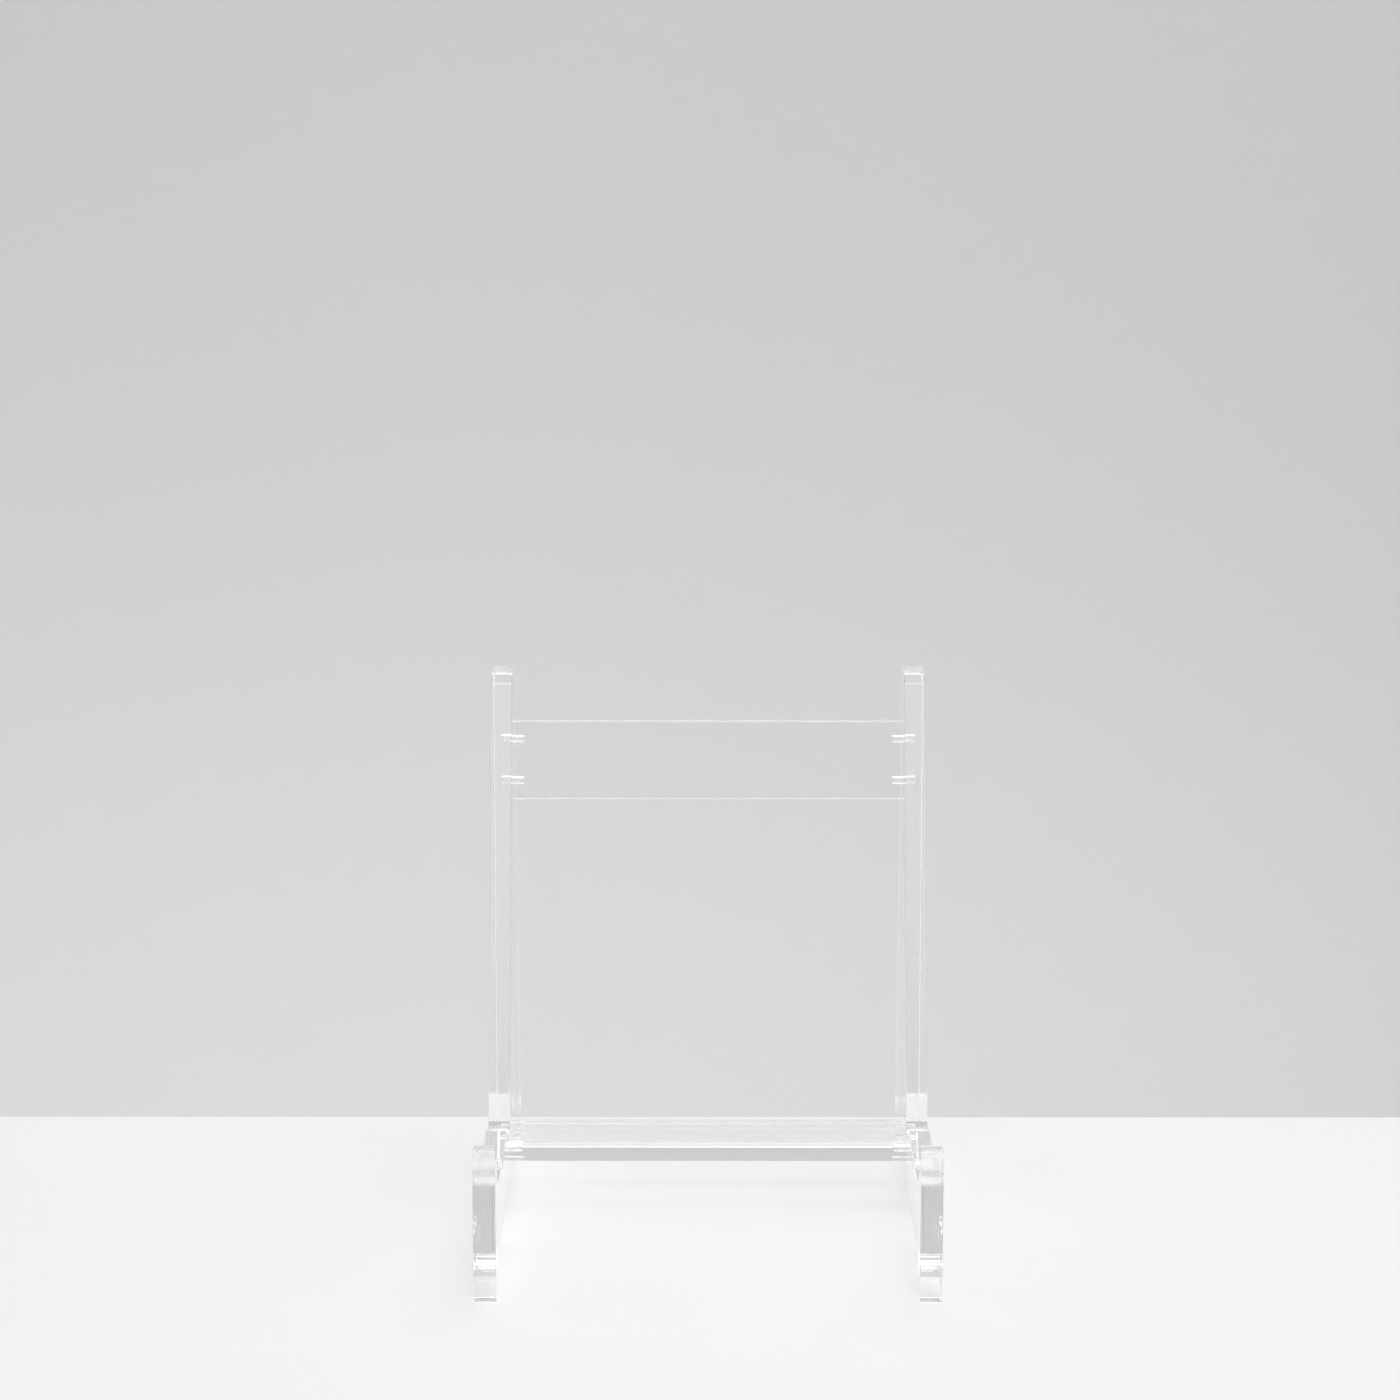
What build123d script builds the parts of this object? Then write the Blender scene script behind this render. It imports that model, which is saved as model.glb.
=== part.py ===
from build123d import *
import os
from math import radians, tan

# A clear acrylic stand for one large plate. Two side frames cut from sheet carry
# the plate's rim in a row of seats, and two cross bars tie them together. Each bar
# end butts against a frame and is held by two dowels in blind holes.
#
# Axes: X across the stand, Y from its front to its back, Z up. The origin lies on
# the table, under the middle of the stand's box. "Back" below is the distance
# behind the frames' front faces. Millimetres.

# Sheet and overall size
SHEET = 8.0
CLEAR_WIDTH = 150.0
FRAME_DEPTH = 195.0
FRAME_HEIGHT = 200.0

# Front lip. The first seat is its round heel.
LIP_HEIGHT = 55.5
LIP_DEPTH = SHEET
LIP_HEEL_HEIGHT = 37.2
LIP_HEEL_RADIUS = 16.5

# The other seats for the plate's rim. Each lies behind a crest of the arm: a steep
# drop down to a round bottom. The arm then rises gently to the next crest.
CRESTS = (46.25, 84.5)
CREST_HEIGHT = 39.2
CREST_RADIUS = 0.8
SEAT_HEIGHT = 33.0
SEAT_SETBACK = 2.25
SEAT_RADIUS = 5.0

# Feet and the arch between them, whose ends are quarter circles down to the table
TOE_DEPTH = 8.5
ARCH_HEIGHT = 13.5

# Upright panel: the plate leans on its front edge, and its rear edge stands almost
# straight over the rear foot
LEAN = 16.0
UPRIGHT_START = 104.0
UPRIGHT_TOP_WIDTH = 26.0
UPRIGHT_HEEL_RADIUS = 5.0
UPRIGHT_TOP_RADIUS = 9.0

# Polished edges
CORNER_RADIUS = 0.6
EDGE_SOFTENING = 0.4

# Cross bars, both of the same strip
BAR_WIDTH = 30.0
LOWER_BAR_START = 107.0
LOWER_BAR_BOTTOM = 19.6
UPPER_BAR_CENTRE_HEIGHT = 166.0
UPPER_BAR_SETBACK = 13.0

# Dowels: half of each lies in the frame and half in the bar
DOWEL_RADIUS = 1.5
DOWEL_LENGTH = 8.0
DOWEL_SPACING = 16.0
DOWEL_CHAMFER = 0.3
HOLE_CLEARANCE = 0.04
HOLE_EXTRA_DEPTH = 0.25

HALF_WIDTH = CLEAR_WIDTH / 2
FRONT_Y = -FRAME_DEPTH / 2
SIDES = {"left": -1, "right": 1}


def upright_front(height):
    """How far back the upright's front edge is at this height."""
    return UPRIGHT_START + (height - CREST_HEIGHT) * tan(radians(LEAN))


def side_profile():
    """The outline of a side frame, as a face in its own plane: back, then up."""
    top_front = upright_front(FRAME_HEIGHT)
    corners = [
        ((0, 0), CORNER_RADIUS),
        ((0, LIP_HEIGHT), CORNER_RADIUS),
        ((LIP_DEPTH, LIP_HEIGHT), CORNER_RADIUS),
        ((LIP_DEPTH, LIP_HEEL_HEIGHT), LIP_HEEL_RADIUS),
    ]
    for crest in CRESTS:
        corners.append(((crest, CREST_HEIGHT), CREST_RADIUS))
        corners.append(((crest + SEAT_SETBACK, SEAT_HEIGHT), SEAT_RADIUS))
    corners += [
        ((upright_front(SEAT_HEIGHT), SEAT_HEIGHT), UPRIGHT_HEEL_RADIUS),
        ((top_front, FRAME_HEIGHT), UPRIGHT_TOP_RADIUS),
        ((top_front + UPRIGHT_TOP_WIDTH, FRAME_HEIGHT), UPRIGHT_TOP_RADIUS),
        ((FRAME_DEPTH, 0), CORNER_RADIUS),
    ]
    points = [point for point, _ in corners]
    radii = [radius for _, radius in corners]
    profile = make_face(FilletPolyline(*points, radius=radii, close=True))

    # The arch is the upper half of a slot with round ends
    slot = SlotOverall(FRAME_DEPTH - 2 * TOE_DEPTH, 2 * ARCH_HEIGHT)
    profile -= Pos(FRAME_DEPTH / 2, 0) * slot
    for toe in (TOE_DEPTH, FRAME_DEPTH - TOE_DEPTH):
        corner = profile.vertices().sort_by_distance((toe, 0))[0]
        profile = fillet(corner, CORNER_RADIUS)
    return profile


def blank_frame(side):
    """One side frame before its dowel holes are drilled."""
    inner_face = HALF_WIDTH * side
    plane = Plane(origin=(inner_face, FRONT_Y, 0), x_dir=(0, 1, 0), z_dir=(1, 0, 0))
    frame = extrude(plane * side_profile(), SHEET * side)
    outlines = frame.faces().filter_by(Axis.X).edges()
    return fillet(outlines, EDGE_SOFTENING)


def bar_location(name):
    """The middle of a cross bar: its local Y runs along the strip's width."""
    if name == "lower":
        back = LOWER_BAR_START + BAR_WIDTH / 2
        height = LOWER_BAR_BOTTOM + SHEET / 2
        return Location((0, FRONT_Y + back, height))
    height = UPPER_BAR_CENTRE_HEIGHT
    back = upright_front(height) + UPPER_BAR_SETBACK
    return Location((0, FRONT_Y + back, height), (90 - LEAN, 0, 0))


def blank_bar(name):
    """One cross bar before its dowel holes are drilled."""
    strip = Box(CLEAR_WIDTH, BAR_WIDTH, SHEET)
    strip = fillet(strip.edges().filter_by(Axis.X), EDGE_SOFTENING)
    return bar_location(name) * strip


def dowel_location(bar, side, end):
    """The middle of a dowel, on the joint between a bar's end and a frame."""
    along = Location((HALF_WIDTH * side, end * DOWEL_SPACING / 2, 0), (0, 90, 0))
    return bar_location(bar) * along


def make_dowel():
    """One dowel along its local Z, with both ends chamfered."""
    dowel = Cylinder(DOWEL_RADIUS, DOWEL_LENGTH)
    return chamfer(dowel.edges().filter_by(GeomType.CIRCLE), DOWEL_CHAMFER)


def make_hole():
    """The space drilled for one dowel, in the frame and the bar together."""
    return Cylinder(DOWEL_RADIUS + HOLE_CLEARANCE, DOWEL_LENGTH + 2 * HOLE_EXTRA_DEPTH)


def build():
    """Every piece of the stand, by name."""
    pieces = {f"{side}_side_frame": blank_frame(SIDES[side]) for side in SIDES}
    # The dowels of the flat lower bar stand front and rear, those of the upper one
    # bottom and top.
    end_names = {"lower": {"front": -1, "rear": 1}, "upper": {"bottom": -1, "top": 1}}
    for bar, ends in end_names.items():
        strip = blank_bar(bar)
        for side in SIDES:
            for end in ends:
                place = dowel_location(bar, SIDES[side], ends[end])
                strip -= place * make_hole()
                pieces[f"{side}_side_frame"] -= place * make_hole()
                pieces[f"{bar}_dowel_{side}_{end}"] = place * make_dowel()
        pieces[f"{bar}_cross_bar"] = strip
    return pieces


os.makedirs("parts", exist_ok=True)
for name, piece in build().items():
    export_step(piece, f"parts/{name}.step")
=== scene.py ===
from math import cos, radians, sin

import bpy
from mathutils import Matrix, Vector


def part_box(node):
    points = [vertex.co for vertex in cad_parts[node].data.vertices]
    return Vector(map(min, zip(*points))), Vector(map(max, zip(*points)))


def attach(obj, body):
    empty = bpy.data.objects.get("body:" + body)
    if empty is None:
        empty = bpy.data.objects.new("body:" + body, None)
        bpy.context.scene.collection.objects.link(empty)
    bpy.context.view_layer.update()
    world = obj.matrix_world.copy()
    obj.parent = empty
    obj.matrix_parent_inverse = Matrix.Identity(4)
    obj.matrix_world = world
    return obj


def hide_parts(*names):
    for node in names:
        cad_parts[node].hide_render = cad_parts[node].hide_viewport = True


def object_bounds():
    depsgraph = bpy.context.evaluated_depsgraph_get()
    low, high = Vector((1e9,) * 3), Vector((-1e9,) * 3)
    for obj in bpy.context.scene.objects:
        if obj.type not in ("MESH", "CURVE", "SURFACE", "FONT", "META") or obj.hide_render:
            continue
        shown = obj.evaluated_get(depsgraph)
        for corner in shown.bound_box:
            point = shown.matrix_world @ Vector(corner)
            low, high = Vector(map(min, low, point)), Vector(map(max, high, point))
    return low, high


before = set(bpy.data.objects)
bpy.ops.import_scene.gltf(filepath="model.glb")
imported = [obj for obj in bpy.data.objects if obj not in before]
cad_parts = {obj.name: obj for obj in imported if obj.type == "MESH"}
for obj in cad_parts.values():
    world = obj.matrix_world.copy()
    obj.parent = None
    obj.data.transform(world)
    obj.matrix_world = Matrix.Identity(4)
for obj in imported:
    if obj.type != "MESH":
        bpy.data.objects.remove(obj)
CAD_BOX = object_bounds()
LOW = CAD_BOX[0]

# Camera, measured from the stand's front faces and the table
CAMERA_DISTANCE = 1.341
CAMERA_HEIGHT = 0.4555
CAMERA_PITCH = 10.1
CAMERA_YAW = 0.12
LENS_MM = 101.7

# Room: a table top with its far edge just behind the stand, and a wall beyond it
TABLE_BEHIND_FRONT = 0.235
TABLE_HALF_WIDTH = 1.6
TABLE_FRONT = -2.6
TABLE_THICKNESS = 0.03
WALL_Y = 1.4
WALL_HALF_WIDTH = 4.0
FLOOR_Z = -0.75
WALL_TOP = 3.0

# Paint: light and dark grey, roughness, and the scales of the mottle and the roller grain
TABLE_PAINT = (0.865, 0.855, 0.6, 3.0, 900.0)
WALL_PAINT = (0.61, 0.60, 0.86, 1.5, 500.0)
GRAIN_ROUGHNESS = 0.06
GRAIN_RELIEF = 0.00002

# Studio lights: place, target, width and height, and power in watts
LIGHTS = {
    "overhead_softbox": ((0.10, -0.22, 1.9), (0.0, 0.0, 0.0), (1.5, 1.4), 16.0),
    "rear_softbox": ((0.30, 1.05, 1.65), (0.0, 0.0, 0.0), (1.8, 0.7), 6.0),
    "wall_wash": ((-0.3, 0.3, -0.65), (-0.3, WALL_Y, -0.2), (2.4, 0.3), 13.0),
}

# Radiance of the surroundings below, at and above the horizon
GROUND_LIGHT = 0.31
HORIZON_LIGHT = 0.42
ZENITH_LIGHT = 0.68

# Clear cast acrylic
ACRYLIC_IOR = 1.49
ACRYLIC_TINT = (0.930, 0.945, 0.925, 1)
ACRYLIC_DENSITY = 2.0

# The cosine of a face's angle to the sheet's normal: below the first it is a cut edge, and
# above the second a broad face
EDGE_COSINE = 0.4
FACE_COSINE = 0.85

# Broad faces: hairlines in two directions, smudges, and the ripple left by casting
HAIRLINE_TURNS = (0.5, 2.1)
HAIRLINE_SCALES = (60.0, 60.0, 2600.0)
HAIRLINE_ROUGHNESS = 0.10
SMUDGE_SCALE = 38.0
SMUDGE_ROUGHNESS = 0.018
RIPPLE_SCALE = 22.0
RIPPLE_RELIEF = 0.00006

# Cut edges: saw marks that run straight across the sheet's thickness, which lies along X
# on the frames, and across X on the bars
FRAME_SAW_SCALES = (40.0, 700.0, 700.0)
BAR_SAW_SCALES = (700.0, 40.0, 40.0)
SAW_ROUGHNESS = (0.012, 0.05)
SAW_RELIEF = 0.000012

# The part of the lip that rims rub: its least height, its reach along Y, how gently it
# begins and ends, and its satin grain
HEEL_LOW = 0.030
HEEL_FRONT = LOW.y + 0.007
HEEL_REAR = LOW.y + 0.022
HEEL_BORDER = 0.001
HEEL_FADE = 0.012
RUBBED_SCALE = 450.0
RUBBED_ROUGHNESS = (0.18, 0.26)

# Scuffs under the feet, up to this height above the table
SCUFF_HEIGHT = 0.002
SCUFF_SCALE = 900.0
SCUFF_ROUGHNESS = 0.16

# Dowels, dulled by cement
CEMENT_SCALE = 700.0
CEMENT_ROUGHNESS = (0.04, 0.22)
CEMENT_RELIEF = 0.00004

# How far a cemented bar end reaches into its frame, so that no air shows in the joint
CEMENT_DEPTH = 0.00005

# The way each bar's broad faces point. The upper bar leans back with the uprights.
LEAN = radians(16.0)
BAR_NORMALS = {"lower": (0, 0, 1), "upper": (0, cos(LEAN), -sin(LEAN))}

# Light has to pass many clear faces
LIGHT_BOUNCES = 96
TRANSPARENT_BOUNCES = 16


def new_material(name):
    """An empty node material, its tree and its output node."""
    material = bpy.data.materials.new(name)
    material.use_nodes = True
    material.node_tree.nodes.clear()
    output = material.node_tree.nodes.new("ShaderNodeOutputMaterial")
    return material, material.node_tree, output


def add_node(tree, kind, inputs=None, **properties):
    """A new node of this kind, with its inputs and its properties set by name."""
    node = tree.nodes.new(kind)
    for key, value in properties.items():
        setattr(node, key, value)
    for socket, value in (inputs or {}).items():
        node.inputs[socket].default_value = value
    return node


def noise(tree, coordinates, scale, detail=2.0, roughness=0.5):
    """The value of a noise texture over these coordinates."""
    settings = {"Scale": scale, "Detail": detail, "Roughness": roughness}
    texture = add_node(tree, "ShaderNodeTexNoise", settings)
    tree.links.new(coordinates, texture.inputs["Vector"])
    return texture.outputs["Fac"]


def stretched(tree, coordinates, scales, turn=(0.0, 0.0, 0.0)):
    """Coordinates turned, then scaled along each axis, for grain, scratches and saw marks."""
    mapping = add_node(tree, "ShaderNodeMapping", {"Scale": scales, "Rotation": turn})
    tree.links.new(coordinates, mapping.inputs["Vector"])
    return mapping.outputs["Vector"]


def ramp(tree, value, start, end, low=0.0, high=1.0):
    """Low below start, high above end, and a smooth step between them."""
    settings = {"From Min": start, "From Max": end, "To Min": low, "To Max": high}
    step = add_node(tree, "ShaderNodeMapRange", settings, interpolation_type="SMOOTHSTEP")
    tree.links.new(value, step.inputs["Value"])
    return step.outputs["Result"]


def calculate(tree, operation, first, second=None):
    """One arithmetic step on sockets or plain numbers."""
    node = add_node(tree, "ShaderNodeMath", operation=operation)
    for value, socket in zip((first, second), node.inputs):
        if value is None:
            continue
        if isinstance(value, (int, float)):
            socket.default_value = value
        else:
            tree.links.new(value, socket)
    return node.outputs[0]


def bump(tree, height, distance, strength=1.0, base=None):
    """A bump of this height in metres, on top of another bump if one is given."""
    node = add_node(tree, "ShaderNodeBump", {"Distance": distance, "Strength": strength})
    tree.links.new(height, node.inputs["Height"])
    if base is not None:
        tree.links.new(base, node.inputs["Normal"])
    return node.outputs["Normal"]


def make_camera():
    """A long lens in front of the stand, looking slightly down at it."""
    data = bpy.data.cameras.new("camera")
    data.lens = LENS_MM
    data.sensor_width = 36.0
    data.clip_start = 0.05
    data.clip_end = 50.0
    camera = bpy.data.objects.new("camera", data)
    bpy.context.scene.collection.objects.link(camera)
    camera.location = (0.0, LOW.y - CAMERA_DISTANCE, CAMERA_HEIGHT)
    camera.rotation_euler = (radians(90 - CAMERA_PITCH), 0.0, radians(CAMERA_YAW))
    bpy.context.scene.camera = camera


def mesh_object(name, vertices, faces, material):
    """A mesh with one material, as an object in the scene."""
    mesh = bpy.data.meshes.new(name)
    mesh.from_pydata(vertices, [], faces)
    mesh.materials.append(material)
    made = bpy.data.objects.new(name, mesh)
    bpy.context.scene.collection.objects.link(made)
    return made


def painted_material(name, light, dark, roughness, mottle_scale, grain_scale):
    """Matt paint: a faint mottle in its colour, and a fine roller grain."""
    material, tree, output = new_material(name)
    place = add_node(tree, "ShaderNodeTexCoord").outputs["Object"]
    colours = add_node(tree, "ShaderNodeValToRGB")
    colours.color_ramp.elements[0].position = 0.3
    colours.color_ramp.elements[0].color = (dark, dark, dark, 1)
    colours.color_ramp.elements[1].position = 0.7
    colours.color_ramp.elements[1].color = (light, light, light, 1)
    tree.links.new(noise(tree, place, mottle_scale, 3.0), colours.inputs["Fac"])
    shader = add_node(tree, "ShaderNodeBsdfPrincipled")
    grain = noise(tree, place, grain_scale, 3.0)
    tree.links.new(colours.outputs["Color"], shader.inputs["Base Color"])
    matt = ramp(tree, grain, 0.3, 0.7, roughness, roughness + GRAIN_ROUGHNESS)
    tree.links.new(matt, shader.inputs["Roughness"])
    tree.links.new(bump(tree, grain, GRAIN_RELIEF), shader.inputs["Normal"])
    tree.links.new(shader.outputs[0], output.inputs["Surface"])
    return material


def make_room():
    """A white table top, and a grey wall and floor beyond and below it."""
    white = painted_material("white_table", *TABLE_PAINT)
    grey = painted_material("grey_wall", *WALL_PAINT)
    back = LOW.y + TABLE_BEHIND_FRONT
    x = TABLE_HALF_WIDTH
    corners = [(-x, TABLE_FRONT), (x, TABLE_FRONT), (x, back), (-x, back)]
    vertices = [(a, b, z) for z in (-TABLE_THICKNESS, 0.0) for a, b in corners]
    faces = [(3, 2, 1, 0), (4, 5, 6, 7), (0, 1, 5, 4), (1, 2, 6, 5), (2, 3, 7, 6), (3, 0, 4, 7)]
    table = mesh_object("table_top", vertices, faces, white)
    w = WALL_HALF_WIDTH
    low, high = FLOOR_Z, WALL_TOP
    upright = [(-w, WALL_Y, low), (w, WALL_Y, low), (w, WALL_Y, high), (-w, WALL_Y, high)]
    flat = [(-w, -w, low), (w, -w, low), (w, WALL_Y, low), (-w, WALL_Y, low)]
    wall = mesh_object("back_wall", upright, [(0, 1, 2, 3)], grey)
    floor = mesh_object("room_floor", flat, [(0, 1, 2, 3)], grey)


def area_light(name, place, target, size, power):
    """A rectangular light at this place, facing its target."""
    data = bpy.data.lights.new(name, "AREA")
    data.shape = "RECTANGLE"
    data.size, data.size_y = size
    data.energy = power
    light = bpy.data.objects.new(name, data)
    bpy.context.scene.collection.objects.link(light)
    light.location = place
    direction = Vector(target) - Vector(place)
    light.rotation_euler = direction.to_track_quat("-Z", "Y").to_euler()


def make_surroundings():
    """A pale room whose light rises from the ground to the ceiling."""
    world = bpy.data.worlds.new("studio")
    bpy.context.scene.world = world
    world.use_nodes = True
    tree = world.node_tree
    background = tree.nodes["Background"]
    direction = add_node(tree, "ShaderNodeTexCoord").outputs["Generated"]
    split = add_node(tree, "ShaderNodeSeparateXYZ")
    tree.links.new(direction, split.inputs["Vector"])
    colours = add_node(tree, "ShaderNodeValToRGB")
    levels = colours.color_ramp.elements
    levels[0].position = 0.0
    levels[0].color = (GROUND_LIGHT, GROUND_LIGHT, GROUND_LIGHT, 1)
    levels[1].position = 1.0
    levels[1].color = (ZENITH_LIGHT, ZENITH_LIGHT, ZENITH_LIGHT, 1)
    horizon = levels.new(0.5)
    horizon.color = (HORIZON_LIGHT, HORIZON_LIGHT, HORIZON_LIGHT, 1)
    tree.links.new(ramp(tree, split.outputs["Z"], -0.8, 0.8), colours.inputs["Fac"])
    tree.links.new(colours.outputs["Color"], background.inputs["Color"])
    background.inputs["Strength"].default_value = 1.0


def make_lights():
    """Every studio light, and the surroundings."""
    for name, settings in LIGHTS.items():
        area_light(name, *settings)
    make_surroundings()


def clear_body(tree, output, roughness, relief):
    """The clear plastic itself: a refracting surface around a faintly tinted volume."""
    clear = {"Base Color": (1, 1, 1, 1), "IOR": ACRYLIC_IOR, "Transmission Weight": 1.0}
    shader = add_node(tree, "ShaderNodeBsdfPrincipled", clear)
    tint = {"Color": ACRYLIC_TINT, "Density": ACRYLIC_DENSITY}
    absorb = add_node(tree, "ShaderNodeVolumeAbsorption", tint)
    tree.links.new(roughness, shader.inputs["Roughness"])
    tree.links.new(relief, shader.inputs["Normal"])
    tree.links.new(shader.outputs[0], output.inputs["Surface"])
    tree.links.new(absorb.outputs[0], output.inputs["Volume"])


def handling_marks(tree, place):
    """The roughness of a broad face: sparse hairlines and dull smudges."""
    hairlines = None
    for turn in HAIRLINE_TURNS:
        lines = noise(tree, stretched(tree, place, HAIRLINE_SCALES, (turn, 0.0, 0.0)), 1.0)
        line = ramp(tree, lines, 0.735, 0.76)
        hairlines = line if hairlines is None else calculate(tree, "MAXIMUM", hairlines, line)
    smudges = ramp(tree, noise(tree, place, SMUDGE_SCALE, 4.0, 0.6), 0.52, 0.72)
    return calculate(tree, "ADD", calculate(tree, "MULTIPLY", hairlines, HAIRLINE_ROUGHNESS),
                     calculate(tree, "MULTIPLY", smudges, SMUDGE_ROUGHNESS))


def foot_scuffs(tree, place, height):
    """The roughness that scuffs add just above the table."""
    low_down = ramp(tree, height, 0.0, SCUFF_HEIGHT, 1.0, 0.0)
    scuffs = ramp(tree, noise(tree, place, SCUFF_SCALE, 3.0), 0.5, 0.7, 0.0, SCUFF_ROUGHNESS)
    return calculate(tree, "MULTIPLY", scuffs, low_down)


def rubbed_lip(tree, place, back, height):
    """The roughness of the lip's rear face and its heel, and none elsewhere."""
    above = ramp(tree, height, HEEL_LOW, HEEL_LOW + HEEL_BORDER)
    behind = ramp(tree, back, HEEL_FRONT, HEEL_FRONT + HEEL_BORDER)
    before = ramp(tree, back, HEEL_REAR, HEEL_REAR + HEEL_FADE, 1.0, 0.0)
    rubbed = calculate(tree, "MULTIPLY", above, calculate(tree, "MULTIPLY", behind, before))
    satin = ramp(tree, noise(tree, place, RUBBED_SCALE, 3.0), 0.3, 0.7, *RUBBED_ROUGHNESS)
    return calculate(tree, "MULTIPLY", rubbed, satin)


def acrylic_material(name, sheet_normal, saw_scales):
    """Clear cast acrylic sheet whose broad faces point along sheet_normal. The faces keep a
    faint casting ripple, hairlines and smudges. The polished cut edges keep a trace of saw
    marks, and are satin where rims rub the lip."""
    material, tree, output = new_material(name)
    place = add_node(tree, "ShaderNodeTexCoord").outputs["Object"]
    split = add_node(tree, "ShaderNodeSeparateXYZ")
    tree.links.new(place, split.inputs["Vector"])
    back, height = split.outputs["Y"], split.outputs["Z"]
    normal = add_node(tree, "ShaderNodeNewGeometry").outputs["True Normal"]
    facing = add_node(tree, "ShaderNodeVectorMath", operation="DOT_PRODUCT")
    facing.inputs[1].default_value = sheet_normal
    tree.links.new(normal, facing.inputs[0])
    cosine = calculate(tree, "ABSOLUTE", facing.outputs["Value"])
    face = ramp(tree, cosine, EDGE_COSINE, FACE_COSINE)
    edge = calculate(tree, "SUBTRACT", 1.0, face)

    saw = noise(tree, stretched(tree, place, saw_scales), 1.0, 3.0, 0.6)
    cut = calculate(tree, "MAXIMUM", ramp(tree, saw, 0.35, 0.75, *SAW_ROUGHNESS),
                    rubbed_lip(tree, place, back, height))
    roughness = calculate(tree, "ADD", calculate(tree, "MULTIPLY", handling_marks(tree, place), face),
                          calculate(tree, "MULTIPLY", cut, edge))
    roughness = calculate(tree, "ADD", roughness, foot_scuffs(tree, place, height))

    ripple = calculate(tree, "MULTIPLY", noise(tree, place, RIPPLE_SCALE, 1.0), face)
    sawn = calculate(tree, "MULTIPLY", saw, edge)
    relief = bump(tree, sawn, SAW_RELIEF, 1.0, bump(tree, ripple, RIPPLE_RELIEF))
    clear_body(tree, output, roughness, relief)
    return material


def dowel_material():
    """Clear extruded rod, faintly dulled by the cement around it."""
    material, tree, output = new_material("dowel_acrylic")
    place = add_node(tree, "ShaderNodeTexCoord").outputs["Object"]
    cement = noise(tree, place, CEMENT_SCALE, 3.0, 0.6)
    roughness = ramp(tree, cement, 0.4, 0.7, *CEMENT_ROUGHNESS)
    clear_body(tree, output, roughness, bump(tree, cement, CEMENT_RELIEF))
    return material


def set_material(piece, material):
    """This material, and no other, on a piece."""
    piece.data.materials.clear()
    piece.data.materials.append(material)


def cemented_bar(name, material):
    """A copy of the cross bar whose ends reach into the frames by the depth of the cement."""
    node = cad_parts[name]
    bar = bpy.data.objects.new(name + "_cemented", node.data.copy())
    bpy.context.scene.collection.objects.link(bar)
    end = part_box(name)[1].x
    for vertex in bar.data.vertices:
        if abs(abs(vertex.co.x) - end) < CEMENT_DEPTH:
            vertex.co.x += CEMENT_DEPTH if vertex.co.x > 0 else -CEMENT_DEPTH
    set_material(bar, material)
    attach(bar, "root")
    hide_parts(name)


make_camera()
make_room()
make_lights()

frame_acrylic = acrylic_material("frame_acrylic", (1, 0, 0), FRAME_SAW_SCALES)
dowel_acrylic = dowel_material()
for name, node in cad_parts.items():
    if name.endswith("side_frame"):
        set_material(node, frame_acrylic)
    elif "dowel" in name:
        set_material(node, dowel_acrylic)
for bar, normal in BAR_NORMALS.items():
    bar_acrylic = acrylic_material(bar + "_bar_acrylic", normal, BAR_SAW_SCALES)
    cemented_bar(bar + "_cross_bar", bar_acrylic)

scene = bpy.context.scene
scene.cycles.max_bounces = LIGHT_BOUNCES
scene.cycles.transmission_bounces = LIGHT_BOUNCES
scene.cycles.glossy_bounces = LIGHT_BOUNCES
scene.cycles.transparent_max_bounces = TRANSPARENT_BOUNCES
# No filter on the light that reaches the table through the clear pieces
scene.cycles.blur_glossy = 0.0
scene.view_settings.view_transform = "Standard"
